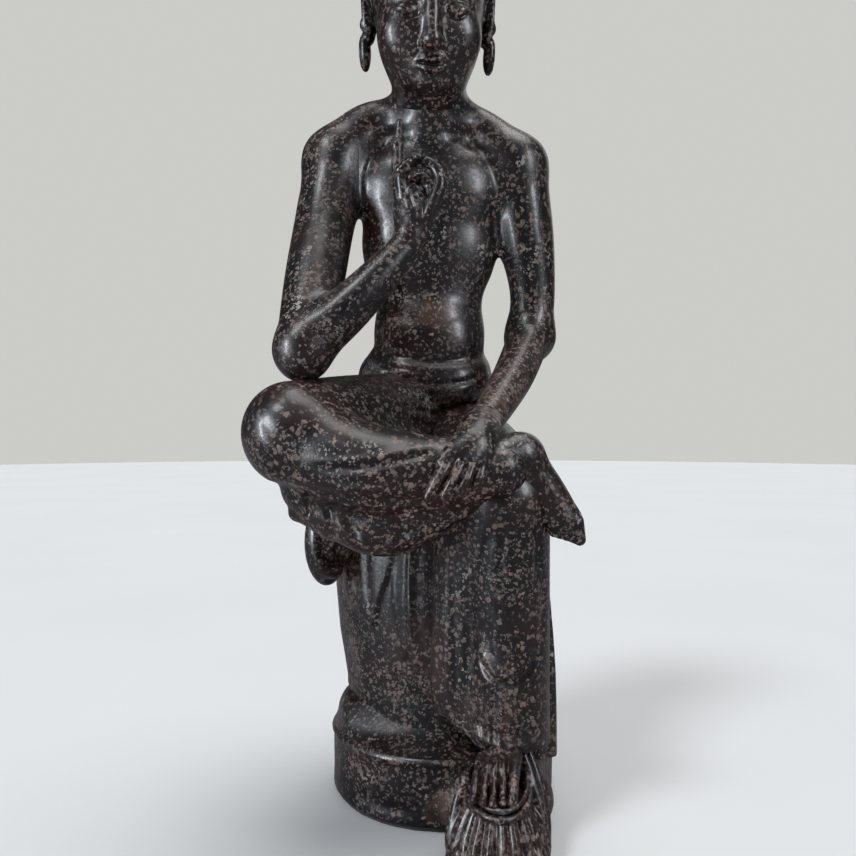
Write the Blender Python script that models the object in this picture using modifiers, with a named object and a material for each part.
"""Pensive seated statue, about 26 cm tall, built as its sand-cast sections and the hardware that joins them.

Run with: blender --background --python part.py
Lengths below are in millimetres and are scaled once, when a mesh is made. The figure faces -Y, +Z
is up, and the origin is the centre of the underside, on the surface that the statue stands on.
Left and right are the figure's own.
"""

import math

import bmesh
import bpy
from mathutils import Euler, Matrix, Vector

MM = 0.001

# Driving dimensions
GAP = 0.3                    # fitting gap between neighbouring castings
FELT_THICKNESS = 1.2
PLINTH_RADIUS = 33.7
PLINTH_HEIGHT = 29.0
PLINTH_SHOULDER = 11.0       # height of the rounded edge at the plinth's top
WALL = 5.0                   # casting wall of the plinth and the seat
SEAT_TOP = 101.0
FOOTREST_HEIGHT = 19.0
HEAD_HEIGHT = 47.0           # chin to crown of the skull
HEAD_NOD = math.radians(18)  # the face looks down
HEAD_TURN = math.radians(4)
DOWEL_RADIUS = 1.5
ROD_RADIUS = 2.5
ROD_XY = (-2.0, 5.0)
ROD_BOTTOM = 5.0
ROD_TOP = 132.0
SCREW_RADIUS = 1.25
SCREW_HEAD_RADIUS = 2.5
SCREW_TOP = 11.5
SCREW_CIRCLE = 23.0
SCREW_ANGLES = (90.0, 210.0, 330.0)
PLATE_BOTTOM = FELT_THICKNESS + GAP
PLATE_THICKNESS = 2.0

# Joint centres of the figure
NECK_BASE = Vector((-4.3, 0.0, 203.0))
NECK_TOP = Vector((-4.3, -6.5, 215.0))
HEAD_CENTRE = Vector((-4.6, -13.0, 232.0))
RIGHT_SHOULDER = Vector((-33.0, 0.5, 193.0))
RIGHT_ELBOW = Vector((-38.4, -34.0, 131.5))
RIGHT_WRIST = Vector((-10.2, -31.0, 160.5))
LEFT_SHOULDER = Vector((22.4, 1.0, 191.5))
LEFT_ELBOW = Vector((27.4, 2.0, 139.0))
LEFT_WRIST = Vector((10.4, -39.0, 111.5))
RIGHT_HIP = Vector((-10.0, 0.0, 112.0))
RIGHT_KNEE = Vector((-40.3, -40.5, 109.8))
RIGHT_ANKLE = Vector((13.5, -47.0, 99.5))
LEFT_HIP = Vector((4.0, 0.0, 107.0))
LEFT_KNEE = Vector((15.5, -37.5, 91.0))
RIGHT_SHOULDER_CUT = -25.5   # X of the flat joint between torso and right arm
LEFT_SHOULDER_CUT = 16.6
TORSO_BOTTOM = 106.0
ROBE_END_BOTTOM = 17.0

BRONZE = ("patinated_bronze", (0.055, 0.035, 0.034), 0.34, 0.55)
STEEL = ("plated_steel", (0.55, 0.55, 0.56), 0.35, 1.0)
FELT = ("green_felt", (0.03, 0.10, 0.06), 0.95, 0.0)


def clear_scene():
    for old in list(bpy.data.objects):
        bpy.data.objects.remove(old, do_unlink=True)


def new_collection(name):
    collection = bpy.data.collections.new(name)
    bpy.context.scene.collection.children.link(collection)
    return collection


def material(spec):
    name, colour, roughness, metallic = spec
    found = bpy.data.materials.get(name)
    if found:
        return found
    made = bpy.data.materials.new(name)
    made.use_nodes = True
    shader = made.node_tree.nodes["Principled BSDF"]
    shader.inputs["Base Color"].default_value = (*colour, 1.0)
    shader.inputs["Roughness"].default_value = roughness
    shader.inputs["Metallic"].default_value = metallic
    made.diffuse_color = (*colour, 1.0)
    return made


# Shape builders: each adds closed shapes to a bmesh, in millimetres

def add_ball(bm, centre, radii, turn=(0.0, 0.0, 0.0)):
    """An ellipsoid of three radii, turned by Euler angles in degrees."""
    if not hasattr(radii, "__len__"):
        radii = (radii, radii, radii)
    angles = Euler([math.radians(a) for a in turn])
    matrix = Matrix.LocRotScale(Vector(centre), angles, Vector(radii))
    bmesh.ops.create_uvsphere(bm, u_segments=24, v_segments=14, radius=1.0, matrix=matrix)


def add_cone(bm, start, end, radius_start, radius_end, segments=20):
    """A round bar, straight from start to end."""
    axis = end - start
    aim = axis.to_track_quat("Z", "Y").to_matrix().to_4x4()
    bmesh.ops.create_cone(
        bm,
        cap_ends=True,
        segments=segments,
        radius1=radius_start,
        radius2=radius_end,
        depth=axis.length,
        matrix=Matrix.Translation((start + end) / 2) @ aim,
    )


def curved(stations, steps=4):
    """More (point, radius) stations along a Catmull-Rom curve through the given ones."""
    points = [Vector((*point, radius)) for point, radius in stations]
    points = [2 * points[0] - points[1], *points, 2 * points[-1] - points[-2]]
    found = []
    for p0, p1, p2, p3 in zip(points, points[1:], points[2:], points[3:]):
        for i in range(steps):
            t = i / steps
            found.append(
                0.5 * (2 * p1 + (p2 - p0) * t + (2 * p0 - 5 * p1 + 4 * p2 - p3) * t * t
                       + (3 * p1 - 3 * p2 + p3 - p0) * t ** 3)
            )
    found.append(points[-2])
    return [(Vector(q[:3]), q[3]) for q in found]


def add_limb(bm, stations, steps=4):
    """A rounded, tapering limb through (point, radius) stations."""
    smooth = curved(stations, steps) if steps > 1 else stations
    for (a, ra), (b, rb) in zip(smooth, smooth[1:]):
        add_cone(bm, a, b, ra, rb)
    for point, radius in smooth:
        add_ball(bm, point, radius)


def add_loft(bm, rings):
    """A closed skin over rings of equal point count, listed bottom to top, each anticlockwise from above."""
    rows = [[bm.verts.new(p) for p in ring] for ring in rings]
    count = len(rows[0])
    for low, high in zip(rows, rows[1:]):
        for i in range(count):
            j = (i + 1) % count
            bm.faces.new((low[i], low[j], high[j], high[i]))
    bm.faces.new(reversed(rows[0]))
    bm.faces.new(rows[-1])


def oval_ring(centre, radii, z, count, ripple=None):
    """Points of an oval at height z. ripple(angle) adds to both radii."""
    ring = []
    for i in range(count):
        angle = 2 * math.pi * i / count
        extra = ripple(angle) if ripple else 0.0
        ring.append(Vector((
            centre[0] + (radii[0] + extra) * math.cos(angle),
            centre[1] + (radii[1] + extra) * math.sin(angle),
            z,
        )))
    return ring


# Objects

def finish(name, bm, spec, collection):
    """Turns a bmesh in millimetres into a named object in metres."""
    bmesh.ops.scale(bm, vec=(MM, MM, MM), verts=bm.verts)
    mesh = bpy.data.meshes.new(name)
    bm.to_mesh(mesh)
    bm.free()
    obj = bpy.data.objects.new(name, mesh)
    collection.objects.link(obj)
    if spec:
        mesh.materials.append(material(spec))
    return obj


def build_node(name, spec, *shapes):
    """A node from functions that each add one closed shape."""
    bm = bmesh.new()
    for shape in shapes:
        shape(bm)
    return finish(name, bm, spec, parts)


def melt(obj, voxel=1.5, smoothing=4, keep=0.3):
    """Melts overlapping shapes into one skin, softens it and thins it out."""
    remesh = obj.modifiers.new("melt", "REMESH")
    remesh.mode = "VOXEL"
    remesh.voxel_size = voxel * MM
    soften = obj.modifiers.new("soften", "SMOOTH")
    soften.factor = 0.5
    soften.iterations = smoothing
    thin = obj.modifiers.new("thin", "DECIMATE")
    thin.ratio = keep
    return obj


def as_cutter(obj):
    for collection in list(obj.users_collection):
        collection.objects.unlink(obj)
    cutters.objects.link(obj)
    obj.hide_render = True
    obj.display_type = "WIRE"
    return obj


def boolean(obj, other, operation="DIFFERENCE", solver="EXACT"):
    cut = obj.modifiers.new(operation.lower(), "BOOLEAN")
    cut.solver = solver
    cut.operation = operation
    cut.object = other
    return obj


def cutter(name, *shapes):
    bm = bmesh.new()
    for shape in shapes:
        shape(bm)
    return as_cutter(finish(name, bm, None, cutters))


def turned(name, spec, profile, steps, collection):
    """A solid of revolution: a (radius, height) profile that runs down the outer side from axis to axis."""
    mesh = bpy.data.meshes.new(name)
    points = [(r * MM, 0.0, z * MM) for r, z in profile]
    mesh.from_pydata(points, [(i, i + 1) for i in range(len(points) - 1)], [])
    obj = bpy.data.objects.new(name, mesh)
    collection.objects.link(obj)
    if spec:
        mesh.materials.append(material(spec))
    screw = obj.modifiers.new("turn", "SCREW")
    screw.steps = steps
    screw.render_steps = steps
    screw.use_merge_vertices = True
    screw.merge_threshold = 0.00001
    return obj


def slab(name, point, normal, reach=200.0):
    """A block that fills the side of a plane that its normal points to."""
    aim = Vector(normal).to_track_quat("Z", "Y").to_matrix().to_4x4()
    size = Matrix.Diagonal((reach, reach, reach, 1.0))
    lift = Matrix.Translation((0.0, 0.0, reach / 2))
    matrix = Matrix.Translation(Vector(point)) @ aim @ lift @ size
    return cutter(name, lambda bm: bmesh.ops.create_cube(bm, size=1.0, matrix=matrix))


def evaluated_mesh(obj):
    graph = bpy.context.evaluated_depsgraph_get()
    return bpy.data.meshes.new_from_object(obj.evaluated_get(graph))


def swollen(obj):
    """A hidden copy of a finished node, grown by the fitting gap, to cut its neighbours with."""
    bm = bmesh.new()
    bm.from_mesh(evaluated_mesh(obj))
    bm.normal_update()
    corner_reach = 1.6       # a vertex on a right-angled edge has to move further than the gap
    shifts = {v: v.normal * GAP * corner_reach * MM for v in bm.verts}
    for v, shift in shifts.items():
        v.co += shift
    mesh = bpy.data.meshes.new(obj.name + "_room")
    bm.to_mesh(mesh)
    bm.free()
    room = bpy.data.objects.new(obj.name + "_room", mesh)
    cutters.objects.link(room)
    return as_cutter(room)


def make_room(obj, *neighbours):
    """Cuts room for its neighbours out of a node. EXACT loses some of these freeform cuts."""
    for neighbour in neighbours:
        room = bpy.data.objects.get(neighbour.name + "_room") or swollen(neighbour)
        boolean(obj, room, solver="MANIFOLD")
    return obj


def keep_side(obj, point, normal):
    """Cuts away the side of a plane that the normal points to, and half a gap more."""
    back = Vector(point) - Vector(normal).normalized() * GAP / 2
    return boolean(obj, slab(obj.name + "_slab_%d" % len(obj.modifiers), back, normal))


def smooth_shading(obj, angle=50.0):
    obj.data.shade_smooth()
    obj.data.set_sharp_from_angle(angle=math.radians(angle))


# Base

def plinth_profile():
    """Half-section of the plinth, down its outer side, with a rounded shoulder."""
    bottom = FELT_THICKNESS + GAP
    side_top = PLINTH_HEIGHT - PLINTH_SHOULDER
    points = [(0.0, PLINTH_HEIGHT)]
    for angle in (90, 70, 50, 25):
        turn = math.radians(angle)
        inward = PLINTH_SHOULDER * 0.5 * (1 - math.cos(turn))
        points.append((PLINTH_RADIUS - inward, side_top + PLINTH_SHOULDER * math.sin(turn)))
    points += [(PLINTH_RADIUS, side_top), (PLINTH_RADIUS, bottom + 6.0)]
    return points + [(PLINTH_RADIUS - 0.8, bottom), (0.0, bottom)]


def plinth_swell(bm):
    """The rounded bulge that carries the footrest in front of the drum."""
    add_ball(bm, (14.5, -26.5, 7.0), (15.6, 14.0, 12.0))


def cavity_profile():
    """The open core of the plinth, up to the roof that carries the seat."""
    radius = PLINTH_RADIUS - WALL
    roof = PLINTH_HEIGHT - WALL
    return [(0.0, roof), (radius - 4.0, roof), (radius, roof - 4.0), (radius, -5.0), (0.0, -5.0)]


def screw_centre(angle, z):
    turn = math.radians(angle)
    return Vector((SCREW_CIRCLE * math.cos(turn), SCREW_CIRCLE * math.sin(turn), z))


def screw_profile(room):
    """Half-section of a countersunk screw, head down. room widens it into the hole for it."""
    head, shank = SCREW_HEAD_RADIUS + room, SCREW_RADIUS + room
    head_face = PLATE_BOTTOM + 0.1
    neck = head_face + SCREW_HEAD_RADIUS - SCREW_RADIUS
    top = SCREW_TOP + room
    outline = [(0.0, top), (shank, top), (shank, neck), (head, head_face)]
    if room:                 # the hole runs on through the plate's underside
        bottom = head_face - room * 4
        outline.append((head, bottom))
        return outline + [(0.0, bottom)]
    return outline + [(0.0, head_face)]


def upright(x, y, low, high, radius, segments=20):
    """A vertical round bar as a shape function."""
    return lambda bm: add_cone(
        bm, Vector((x, y, low)), Vector((x, y, high)), radius, radius, segments
    )


def build_base():
    plinth = turned("plinth", BRONZE, plinth_profile(), 40, parts)
    boolean(plinth, cutter("plinth_swell", plinth_swell), "UNION")
    keep_side(plinth, (0, 0, PLATE_BOTTOM + GAP / 2), (0, 0, -1))
    boolean(plinth, as_cutter(turned("plinth_core", None, cavity_profile(), 32, cutters)))
    bosses = cutter("plinth_bosses", *[
        upright(*screw_centre(a, 0).xy, PLATE_BOTTOM + PLATE_THICKNESS + GAP, PLINTH_HEIGHT - 3, 4.0)
        for a in SCREW_ANGLES
    ])
    boolean(plinth, bosses, "UNION")
    boss_holes = [
        upright(*screw_centre(a, 0).xy, 0.0, 13.0, SCREW_RADIUS + GAP, 12) for a in SCREW_ANGLES
    ]
    rod_hole = upright(*ROD_XY, 0.0, 60.0, ROD_RADIUS + GAP, 16)
    boolean(plinth, cutter("plinth_holes", rod_hole, *boss_holes))

    plate = build_node(
        "base_plate", STEEL,
        upright(0, 0, PLATE_BOTTOM, PLATE_BOTTOM + PLATE_THICKNESS, PLINTH_RADIUS - WALL - GAP, 40),
    )
    boolean(plate, cutter("plate_access_hole", upright(*ROD_XY, 0.0, 6.0, 6.5, 24)))
    for number, angle in enumerate(SCREW_ANGLES, 1):
        name = "base_plate_screw_%d" % number
        screw = turned(name, STEEL, screw_profile(0.0), 12, parts)
        sink = as_cutter(turned(name + "_sink", None, screw_profile(GAP), 12, cutters))
        for obj in (screw, sink):
            obj.location = screw_centre(angle, 0.0) * MM
        boolean(plate, sink)
        smooth_shading(screw)
    build_node("felt_pad", FELT, upright(0, 0, 0.0, FELT_THICKNESS, PLINTH_RADIUS - 1.0, 48))
    return plinth


def build_tie_rod():
    build_node("tie_rod", STEEL, upright(*ROD_XY, ROD_BOTTOM, ROD_TOP, ROD_RADIUS, 16))
    roof = PLINTH_HEIGHT - WALL
    for name, low, high, radius, sides in (
        ("tie_rod_washer", roof - GAP - 1.2, roof - GAP, 6.0, 24),
        ("tie_rod_nut", roof - 2 * GAP - 5.2, roof - 2 * GAP - 1.2, 4.6, 6),
    ):
        ring = build_node(name, STEEL, upright(*ROD_XY, low, high, radius, sides))
        boolean(ring, cutter(name + "_bore", upright(*ROD_XY, 0.0, 60.0, ROD_RADIUS + GAP, 16)))


def dowel(name, start, end):
    """A plain pin between two castings, and the hole for it, cut from both."""
    pin = build_node(
        name, STEEL, lambda bm: add_cone(bm, start, end, DOWEL_RADIUS, DOWEL_RADIUS, 12)
    )
    smooth_shading(pin)
    reach = (end - start).normalized() * GAP * 1.5
    return cutter(
        name + "_hole",
        lambda bm: add_cone(
            bm, start - reach, end + reach, DOWEL_RADIUS + GAP, DOWEL_RADIUS + GAP, 12
        ),
    )


# Seat: a drum under hanging cloth

SEAT_SECTIONS = (
    # height, centre x, centre y, radius x, radius y
    (25.0, 1.6, 1.5, 29.4, 26.5),
    (34.0, 1.2, 2.0, 30.6, 27.0),
    (48.0, 0.0, 2.5, 31.9, 27.5),
    (62.0, -0.8, 3.0, 32.8, 28.0),
    (80.0, -1.0, 3.5, 32.4, 28.0),
    (93.0, -1.4, 4.0, 30.0, 26.0),
    (101.0, -1.6, 4.5, 25.0, 22.0),
)
CLOTH_FOLDS = 11


def seat_ripple(z):
    """Hanging folds that deepen towards the hem."""
    depth = 0.9 * (SEAT_TOP - z) / (SEAT_TOP - PLINTH_HEIGHT)
    return lambda angle: depth * math.cos(CLOTH_FOLDS * angle)


def seat_body(bm):
    add_loft(bm, [
        oval_ring((cx, cy), (rx, ry), max(z, PLINTH_HEIGHT + GAP), 44, seat_ripple(z))
        for z, cx, cy, rx, ry in SEAT_SECTIONS
    ])


def seat_core_profile():
    """The seat's cavity, open at the bottom, where the plinth's roof closes it."""
    return [(0.0, 84.0), (9.0, 84.0), (17.0, 80.0), (22.0, 70.0), (22.0, 20.0), (0.0, 20.0)]


def right_robe_end_shape(bm):
    """The end of the robe that hangs beside the seat, under the raised knee."""
    add_ball(bm, (-34.5, -16.0, 76.0), (5.5, 9.0, 12.5), (12, 0, -18))
    add_ball(bm, (-31.0, -12.0, 84.0), (8.0, 12.0, 12.0))


def left_robe_end_shape(bm):
    """The long end of the robe that falls on the left side, over the plinth's edge."""
    add_limb(bm, [
        (Vector((24.0, -12.0, 78.0)), 6.2), (Vector((25.6, -14.0, 52.0)), 6.2),
        (Vector((25.8, -18.0, 34.0)), 5.8), (Vector((25.6, -21.5, 20.0)), 5.0),
    ])


# Legs

def crossed_leg_shape(bm):
    """Thigh and shin of the right leg under the robe, with its hem hanging in front."""
    add_limb(bm, [
        (RIGHT_HIP, 15.5), (Vector((-27.0, -22.0, 110.8)), 14.2), (RIGHT_KNEE, 12.6),
    ])
    add_limb(bm, [
        (RIGHT_KNEE + Vector((0.8, -1.0, -3.0)), 11.8),
        (Vector((-16.0, -47.0, 99.0)), 11.2),
        (RIGHT_ANKLE, 7.0),
    ])
    add_limb(bm, [      # hem
        (Vector((-37.5, -37.0, 93.0)), 6.0),
        (Vector((-27.0, -42.0, 86.0)), 6.4),
        (Vector((-14.0, -44.0, 84.0)), 6.8),
        (Vector((0.0, -44.0, 89.5)), 5.8),
        (Vector((9.0, -44.0, 95.0)), 4.5),
    ])
    add_ball(bm, (-16.0, -28.0, 97.0), (24.0, 18.0, 12.0))


def left_leg_shape(bm):
    """Thigh, knee and hanging shin of the left leg under the robe."""
    add_limb(bm, [
        (LEFT_HIP, 14.0), (Vector((11.5, -20.0, 99.0)), 13.5), (LEFT_KNEE, 12.2),
    ])
    add_limb(bm, [
        (LEFT_KNEE, 12.2), (Vector((17.0, -36.5, 62.0)), 10.8),
        (Vector((17.2, -36.0, 44.0)), 10.4), (Vector((17.2, -34.0, 36.0)), 10.2),
    ])
    add_limb(bm, [      # cloth hanging between the leg and the seat
        (Vector((3.0, -32.0, 84.0)), 7.0), (Vector((2.0, -30.0, 60.0)), 7.0),
        (Vector((0.5, -29.0, 40.0)), 6.5),
    ])


def right_foot_shape(bm):
    """The foot past the left knee: sole outwards, toes down."""
    add_limb(bm, [
        (Vector((19.5, -43.0, 102.5)), 5.6), (Vector((23.2, -42.0, 96.5)), 5.9),
        (Vector((28.2, -41.5, 90.0)), 5.2), (Vector((31.0, -41.0, 85.5)), 4.6),
        (Vector((33.6, -41.0, 81.5)), 2.7),
    ])


def left_foot_shape(bm):
    add_limb(bm, [(Vector((16.6, -35.0, 30.0)), 5.6), (Vector((16.0, -38.0, 26.5)), 5.8)])
    add_ball(bm, (13.5, -47.0, 23.2), (5.8, 12.0, 3.6), (-8, 0, -12))
    add_ball(bm, (11.4, -54.5, 21.8), (6.3, 5.5, 2.6), (-6, 0, -12))


# Footrest: an open lotus in front of the plinth

LOTUS_CENTRE = (12.8, -47.0)
LOTUS_PETALS = 14
LOTUS_SECTIONS = (
    # height, radius x, radius y, petal relief
    (0.0, 11.6, 17.0, 0.3),
    (2.5, 12.8, 18.4, 0.8),
    (6.0, 13.0, 18.6, 1.0),
    (11.0, 11.6, 17.0, 0.9),
    (15.5, 9.6, 14.8, 0.5),
    (17.0, 9.4, 14.6, 0.0),
    (FOOTREST_HEIGHT, 9.2, 14.4, 0.0),
)


def footrest_shape(bm):
    rings = []
    for z, rx, ry, relief in LOTUS_SECTIONS:
        petals = lambda angle, d=relief: d * abs(math.cos(LOTUS_PETALS * angle / 2)) - d / 2
        rings.append(oval_ring(LOTUS_CENTRE, (rx, ry), z, 42, petals))
    add_loft(bm, rings)


# Upper body

def torso_shape(bm):
    add_ball(bm, (-5.2, 3.5, 119.0), (21.0, 15.0, 14.5))
    add_ball(bm, (-4.3, 1.5, 139.0), (17.6, 12.2, 24.0))
    add_ball(bm, (-4.2, 0.5, 168.0), (21.4, 12.6, 25.0))
    add_ball(bm, (-4.2, 1.0, 184.0), (23.5, 11.5, 15.0))
    add_limb(bm, right_shoulder_stations())
    add_limb(bm, left_shoulder_stations())
    add_limb(bm, [(NECK_BASE, 11.4), (NECK_TOP, 10.6), (NECK_TOP + Vector((0, -2, 6)), 10.6)])


def right_shoulder_stations():
    return [
        (RIGHT_SHOULDER, 10.2), (Vector((-23.5, 2.0, 203.6)), 8.2),
        (Vector((-12.0, 2.0, 207.0)), 7.4),
    ]


def left_shoulder_stations():
    return [
        (LEFT_SHOULDER, 9.8), (Vector((12.5, 2.0, 201.8)), 7.6), (Vector((3.0, 2.0, 207.0)), 7.2),
    ]


def right_arm_stations():
    return [
        (RIGHT_SHOULDER, 10.2), (Vector((-35.7, -9.0, 172.0)), 9.0),
        (Vector((-37.2, -21.0, 152.0)), 8.6), (RIGHT_ELBOW, 7.4),
    ]


def right_forearm_stations():
    return [(RIGHT_ELBOW, 7.3), (Vector((-24.0, -33.5, 144.6)), 6.2), (RIGHT_WRIST, 4.2)]


def left_arm_stations():
    return [
        (LEFT_SHOULDER, 9.8), (Vector((25.6, 1.5, 172.0)), 9.0),
        (Vector((28.1, 2.0, 154.0)), 7.1), (LEFT_ELBOW, 6.8),
    ]


def left_forearm_stations():
    return [(LEFT_ELBOW, 6.5), (Vector((19.8, -18.0, 124.6)), 5.9), (LEFT_WRIST, 4.5)]


def right_hand_shape(bm):
    """Palm, raised forefinger, and the ring that thumb and middle finger make."""
    add_limb(bm, [(RIGHT_WRIST, 4.0), (Vector((-8.6, -31.0, 166.5)), 4.2),
                  (Vector((-8.8, -31.0, 172.0)), 4.0)])
    add_ball(bm, (-9.6, -30.0, 173.0), (4.4, 3.0, 5.0))
    add_limb(bm, [(Vector((-12.4, -29.5, 176.0)), 1.8), (Vector((-13.2, -28.0, 186.0)), 1.6),
                  (Vector((-12.6, -25.8, 195.6)), 1.3)])
    add_limb(bm, [(Vector((-11.6, -31.0, 175.0)), 1.9), (Vector((-11.2, -32.0, 180.0)), 1.7),
                  (Vector((-6.5, -33.5, 182.2)), 1.6), (Vector((-2.2, -33.5, 179.5)), 1.5)])
    add_limb(bm, [(Vector((-6.6, -32.5, 165.5)), 2.6), (Vector((-3.2, -34.0, 171.0)), 2.1),
                  (Vector((-1.6, -34.0, 176.0)), 1.8), (Vector((-2.2, -33.5, 180.0)), 1.6)])


def left_hand_shape(bm):
    """The hand laid flat over the right shin, fingers pointing down and inwards."""
    add_limb(bm, [(LEFT_WRIST, 4.4), (Vector((8.0, -46.5, 108.5)), 4.6)])
    add_ball(bm, (5.2, -52.0, 104.5), (5.6, 5.2, 6.4), (38, 22, 0))
    for i in range(4):
        shift = Vector((2.3, 0.4, -1.3)) * (i - 1.5)
        add_limb(bm, [
            (Vector((3.2, -54.0, 102.5)) + shift, 1.9),
            (Vector((0.2, -57.5, 98.5)) + shift, 1.8),
            (Vector((-2.8, -58.6, 93.5)) + shift * 0.8, 1.5),
        ], steps=2)


# Head, in its own axes: origin between the ears, -y to the front

def head_matrix():
    return (
        Matrix.Translation(HEAD_CENTRE)
        @ Matrix.Rotation(HEAD_TURN, 4, "Z")
        @ Matrix.Rotation(HEAD_NOD, 4, "X")
    )


def head_shape(bm):
    half = HEAD_HEIGHT / 2
    add_ball(bm, (0, 3.0, half * 0.24), (17.4, 20.5, half * 0.78))
    add_ball(bm, (0, -5.5, -half * 0.22), (15.6, 13.5, half * 0.78))
    add_ball(bm, (0, -11.0, -half * 0.62), (9.5, 7.5, half * 0.34))
    add_limb(bm, [(Vector((0, -18.2, 1.0)), 1.5), (Vector((0, -20.6, -6.0)), 2.3)])
    for side in (-1, 1):
        add_ball(bm, (side * 18.0, 2.0, -0.5), (2.6, 4.6, 7.5), (-12, side * 8, 0))
        add_ball(bm, (side * 19.0, 0.5, -9.5), (2.4, 3.0, 5.0))
    add_limb(bm, [(Vector((0, 2.0, -8.0)), 10.4), (Vector((0, 4.5, -20.0)), 10.6)])
    bmesh.ops.transform(bm, matrix=head_matrix(), verts=bm.verts)


CROWN_TILT = 8.0
CROWN_LINE = 10.2            # where the crown starts, above the head's own origin


def crown_shape(bm):
    """A plain cap with a low band and three round lobes."""
    add_ball(bm, (0, 3.0, HEAD_HEIGHT * 0.12), (18.2, 21.3, HEAD_HEIGHT * 0.41))
    for angle in (-90, -22, 202):
        turn = math.radians(angle)
        x, y = 14.0 * math.cos(turn), 2.0 + 16.5 * math.sin(turn)
        add_ball(bm, (x, y, 18.0), (8.6, 2.8, 9.6), (0, 0, angle + 90))
    bmesh.ops.transform(bm, matrix=head_matrix(), verts=bm.verts)


def crown_plane():
    frame = head_matrix()
    point = frame @ Vector((0, 0, CROWN_LINE))
    tilt = Matrix.Rotation(math.radians(-CROWN_TILT), 4, "X")
    normal = frame.to_3x3() @ (tilt.to_3x3() @ Vector((0, 0, 1)))
    return point, normal


def neck_plane():
    axis = (NECK_TOP - NECK_BASE).normalized()
    return NECK_BASE + axis * 8.5, axis


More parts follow.
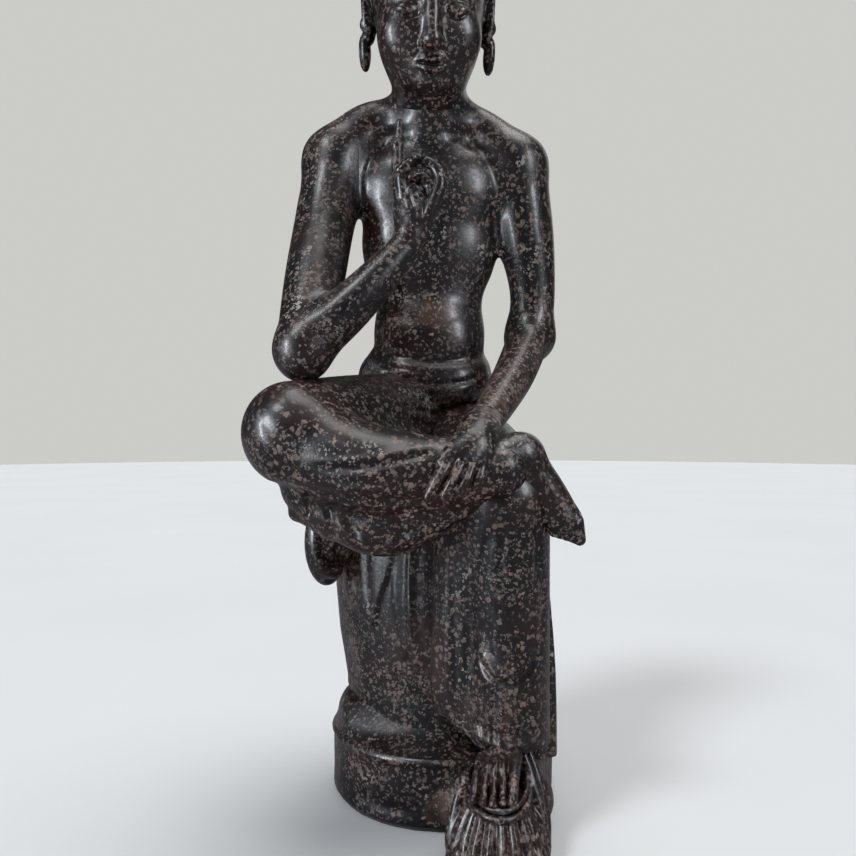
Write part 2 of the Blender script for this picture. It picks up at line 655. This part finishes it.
def build_figure():
    crossed_leg = melt(build_node("crossed_leg", BRONZE, crossed_leg_shape), 2.6, 1, 0.15)

    torso = melt(build_node("torso", BRONZE, torso_shape), 2.6, 1, 0.13)
    keep_side(torso, (RIGHT_SHOULDER_CUT, 0, 190), (-1, 0, 0))
    keep_side(torso, (LEFT_SHOULDER_CUT, 0, 190), (1, 0, 0))
    keep_side(torso, *neck_plane())
    keep_side(torso, (0, 0, TORSO_BOTTOM), (0, 0, -1))
    make_room(torso, crossed_leg)

    left_leg = melt(build_node("left_leg", BRONZE, left_leg_shape), 2.6, 1, 0.13)
    keep_side(left_leg, (0, 0, PLINTH_HEIGHT + 1.0), (0, 0, -1))
    make_room(left_leg, crossed_leg, torso)

    plinth = bpy.data.objects["plinth"]
    right_end = melt(build_node("right_robe_end", BRONZE, right_robe_end_shape), 2.0, 1, 0.15)
    left_end = melt(build_node("left_robe_end", BRONZE, left_robe_end_shape), 2.0, 1, 0.15)
    make_room(right_end, crossed_leg)
    make_room(left_end, left_leg, crossed_leg, plinth)
    keep_side(left_end, (0, 0, ROBE_END_BOTTOM), (0, 0, -1))

    seat = build_node("seat", BRONZE, seat_body)
    keep_side(seat, (0, 0, PLINTH_HEIGHT), (0, 0, -1))
    core = as_cutter(turned("seat_core", None, seat_core_profile(), 28, cutters))
    core.location = (0.5 * MM, 2.5 * MM, 0.0)
    boolean(seat, core)
    boolean(seat, cutter("seat_rod_hole", upright(*ROD_XY, 0, 120, ROD_RADIUS + GAP, 16)))
    make_room(seat, crossed_leg, torso, left_leg, right_end, left_end)

    right_foot = melt(build_node("right_foot", BRONZE, right_foot_shape), 1.5, 1, 0.2)
    make_room(right_foot, crossed_leg, left_leg)

    footrest = build_node("lotus_footrest", BRONZE, footrest_shape)
    keep_side(footrest, (0, 0, GAP / 2), (0, 0, -1))
    make_room(footrest, plinth, bpy.data.objects["felt_pad"])

    left_foot = melt(build_node("left_foot", BRONZE, left_foot_shape), 1.3, 1, 0.2)
    make_room(left_foot, left_leg, footrest)

    arms = {}
    right_cut, left_cut = (RIGHT_SHOULDER_CUT, 0, 190), (LEFT_SHOULDER_CUT, 0, 190)
    for name, limbs, plane in (
        (
            "right_upper_arm",
            (right_arm_stations(), right_shoulder_stations()),
            (right_cut, (1, 0, 0)),
        ),
        ("left_upper_arm", (left_arm_stations(), left_shoulder_stations()), (left_cut, (-1, 0, 0))),
        ("right_forearm", (right_forearm_stations(),), None),
        ("left_forearm", (left_forearm_stations(),), None),
    ):
        arm = build_node(name, BRONZE, *[lambda bm, s=stations: add_limb(bm, s) for stations in limbs])
        arms[name] = melt(arm, 1.9, 1, 0.12)
        if plane:
            keep_side(arm, *plane)
    right_hand = melt(build_node("right_hand", BRONZE, right_hand_shape), 0.9, 1, 0.17)
    left_hand = melt(build_node("left_hand", BRONZE, left_hand_shape), 1.1, 1, 0.18)

    for side, elbow, wrist, hand in (
        ("right", RIGHT_ELBOW, RIGHT_WRIST, right_hand),
        ("left", LEFT_ELBOW, LEFT_WRIST, left_hand),
    ):
        upper, fore = arms[side + "_upper_arm"], arms[side + "_forearm"]
        along = (wrist - elbow).normalized()
        elbow_cut = elbow + along * 5.5
        keep_side(fore, elbow_cut, -along)
        keep_side(fore, wrist - along * 1.0, along)
        keep_side(hand, wrist - along * 1.0, -along)
        for name, point, near, far, limbs in (
            ("_elbow_dowel", elbow_cut, 6.0, 8.0, (upper, fore)),
            ("_wrist_dowel", wrist - along * 1.0, 7.0, 4.5, (fore, hand)),
        ):
            hole = dowel(side + name, point - along * near, point + along * far)
            for limb in limbs:
                boolean(limb, hole)
        make_room(upper, fore)
    for name, cut_x, shoulder in (
        ("right", RIGHT_SHOULDER_CUT, RIGHT_SHOULDER), ("left", LEFT_SHOULDER_CUT, LEFT_SHOULDER),
    ):
        outward = math.copysign(1.0, cut_x)
        middle = Vector((cut_x, shoulder.y + 0.5, 189.0))
        reach = Vector((6.5 * outward, 0, 0))
        hole = dowel(name + "_shoulder_dowel", middle - reach * 1.2, middle + reach)
        boolean(torso, hole)
        boolean(arms[name + "_upper_arm"], hole)
    for limb in (*arms.values(), right_hand, left_hand):
        make_room(limb, crossed_leg)

    crown_point, crown_normal = crown_plane()
    head = melt(build_node("head", BRONZE, head_shape), 1.7, 1, 0.14)
    crown = melt(build_node("crown", BRONZE, crown_shape), 1.8, 1, 0.14)
    keep_side(head, crown_point, crown_normal)
    neck_point, neck_axis = neck_plane()
    keep_side(head, neck_point, -neck_axis)
    keep_side(crown, crown_point, -crown_normal)
    make_room(right_hand, head)
    neck_hole = dowel("neck_dowel", neck_point - neck_axis * 9, neck_point + neck_axis * 9)
    crown_hole = dowel("crown_dowel", crown_point - crown_normal * 8, crown_point + crown_normal * 6)
    for obj, hole in ((torso, neck_hole), (head, neck_hole), (head, crown_hole), (crown, crown_hole)):
        boolean(obj, hole)

    rod_room = cutter("rod_room", upright(*ROD_XY, 0, ROD_TOP + GAP, ROD_RADIUS + GAP, 16))
    for obj in (torso, crossed_leg, left_leg):
        boolean(obj, rod_room)

    for obj in (crossed_leg, torso, left_leg, seat, right_end, left_end, right_foot, left_foot,
                footrest, plinth,
                head, crown, right_hand, left_hand, *arms.values()):
        smooth_shading(obj)


clear_scene()
parts = new_collection("pensive_statue")
cutters = new_collection("cutters")
build_base()
build_tie_rod()
build_figure()
